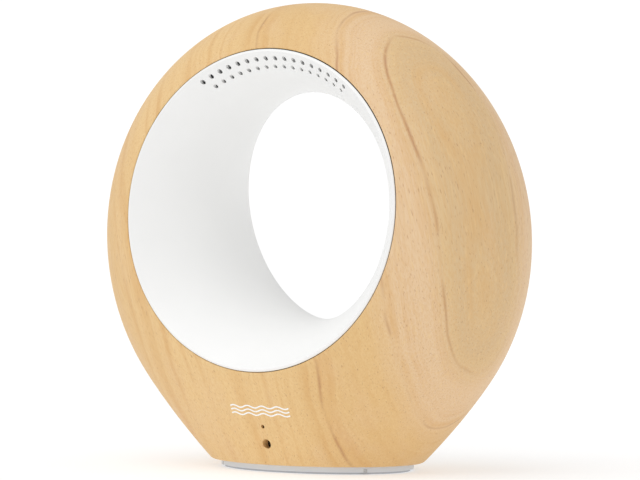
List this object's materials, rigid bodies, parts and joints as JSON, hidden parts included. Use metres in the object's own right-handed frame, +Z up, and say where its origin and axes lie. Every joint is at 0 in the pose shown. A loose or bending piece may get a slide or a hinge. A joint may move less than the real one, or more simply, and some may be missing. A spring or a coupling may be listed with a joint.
{
  "type": "air quality monitor",
  "caption": "Free-standing indoor air quality monitor: a flattened round wooden body on a small oval foot, with a white flared opening right through it and sensors inside.",
  "frame": {"origin": "middle of the face it rests on", "axes": "+X to the right seen from the front, front face towards -Y, +Z up"},
  "size_m": [0.19, 0.096, 0.1862],
  "materials": {
    "maple_wood": "satin",
    "satin_white_plastic": "satin",
    "pale_grey_plastic": "matte",
    "white_plastic": "matte",
    "black_plastic": "matte",
    "dark_mesh": "woven",
    "soft_rubber": "matte",
    "pale_rubber": "matte",
    "steel": "zinc plated",
    "pressed_steel": "pressed",
    "brass_pins": "plated",
    "gold_case": "plated",
    "circuit_board": "solder mask",
    "strip_film": "film",
    "led_resin": "gloss",
    "lead_cover": "satin",
    "clear_plastic": "polished",
    "dark_lens": "polished"
  },
  "bodies": {
    "root": {"air_duct": "soft_rubber", "base_plate": "pale_grey_plastic", "board_link_header": "black_plastic", "board_link_pins": "brass_pins", "button_switch": "black_plastic", "capacitors": "pressed_steel", "co2_sensor": "gold_case", "counter_board": "circuit_board", "counter_case": "pressed_steel", "counter_lid": "pressed_steel", "foot_pad": "pale_rubber", "frame_screws": "steel", "front_board": "circuit_board", "front_board_screws": "steel", "front_liner": "satin_white_plastic", "front_vent_mesh": "dark_mesh", "humidity_sensor": "black_plastic", "inner_frame": "black_plastic", "laser_diode": "brass_pins", "light_header": "white_plastic", "light_leads": "lead_cover", "light_pipe": "clear_plastic", "light_ring_carrier": "white_plastic", "light_sensor": "black_plastic", "light_shroud": "black_plastic", "light_strip": "strip_film", "light_strip_leds": "led_resin", "main_board": "circuit_board", "main_board_screws": "steel", "main_connector": "white_plastic", "memory_chip": "black_plastic", "power_board": "circuit_board", "power_board_screws": "steel", "power_coil": "black_plastic", "power_headers": "white_plastic", "power_leads": "lead_cover", "power_socket": "steel", "processor": "black_plastic", "rear_bezel": "satin_white_plastic", "rear_liner": "satin_white_plastic", "rear_vent_mesh": "dark_mesh", "ribbon_cable": "strip_film", "sensor_board": "circuit_board", "sensor_board_screws": "steel", "sensor_connector": "white_plastic", "sensor_lens": "dark_lens", "socket_tongue": "black_plastic", "status_led": "led_resin", "voc_sensor": "pressed_steel", "wireless_module": "pressed_steel", "wood_screws": "steel", "wood_shell": "maple_wood"},
    "button": {"button_cap": "satin_white_plastic", "switch_plunger": "white_plastic"},
    "fan": {"counter_fan": "black_plastic"}
  },
  "joints": [
    {"name": "button_press", "type": "slide", "parent": "root", "child": "button", "axis": [0, -1, 0], "range_m": [0, 0.0005], "stiffness_N_per_m": 3200},
    {"name": "fan_spin", "type": "hinge", "parent": "root", "child": "fan", "pos_m": [0.0086, 0.0016, 0.1641], "axis": [0, 0, 1], "continuous": true}
  ]
}
